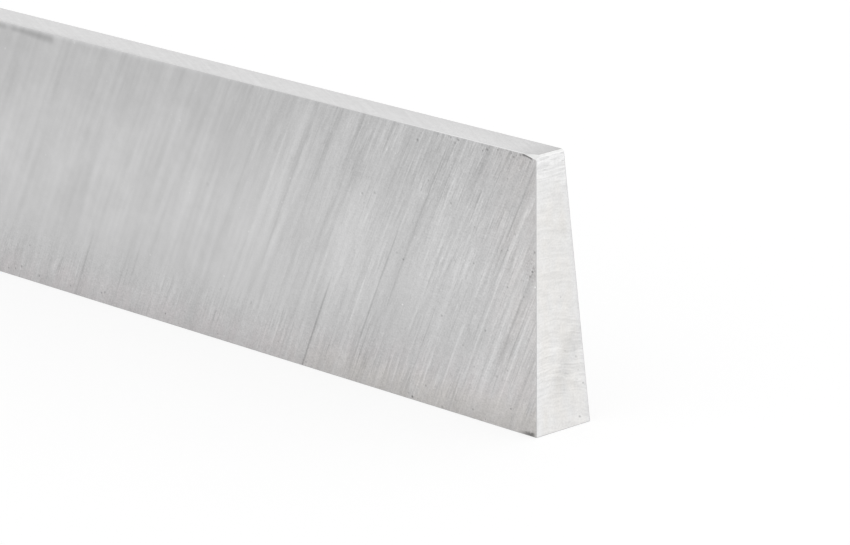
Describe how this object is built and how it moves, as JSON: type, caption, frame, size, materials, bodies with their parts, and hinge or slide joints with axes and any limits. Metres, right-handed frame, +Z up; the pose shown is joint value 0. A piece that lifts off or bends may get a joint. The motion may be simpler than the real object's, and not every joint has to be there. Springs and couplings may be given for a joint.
{
  "type": "parting blade",
  "caption": "Ground steel blade for parting off and grooving in a lathe: a straight bar whose flanks taper from a wide cutting edge to a narrow back edge, cut square at its ends.",
  "frame": {"origin": "on the face of the wide cutting edge, half way along the blade and half way across it, level with the surface that the blade stands on", "axes": "+X along the blade towards the end with the worn corner, +Y across the blade's thickness, +Z up from the wide cutting edge to the narrow back edge"},
  "size_m": [0.2, 0.005, 0.02],
  "materials": {
    "ground_steel": "bare high-speed steel, ground with slanting lines on the flanks, finer on the back edge, cut and dressed across at the ends"
  },
  "bodies": {
    "root": {"parting_blade": "ground_steel"}
  },
  "joints": []
}
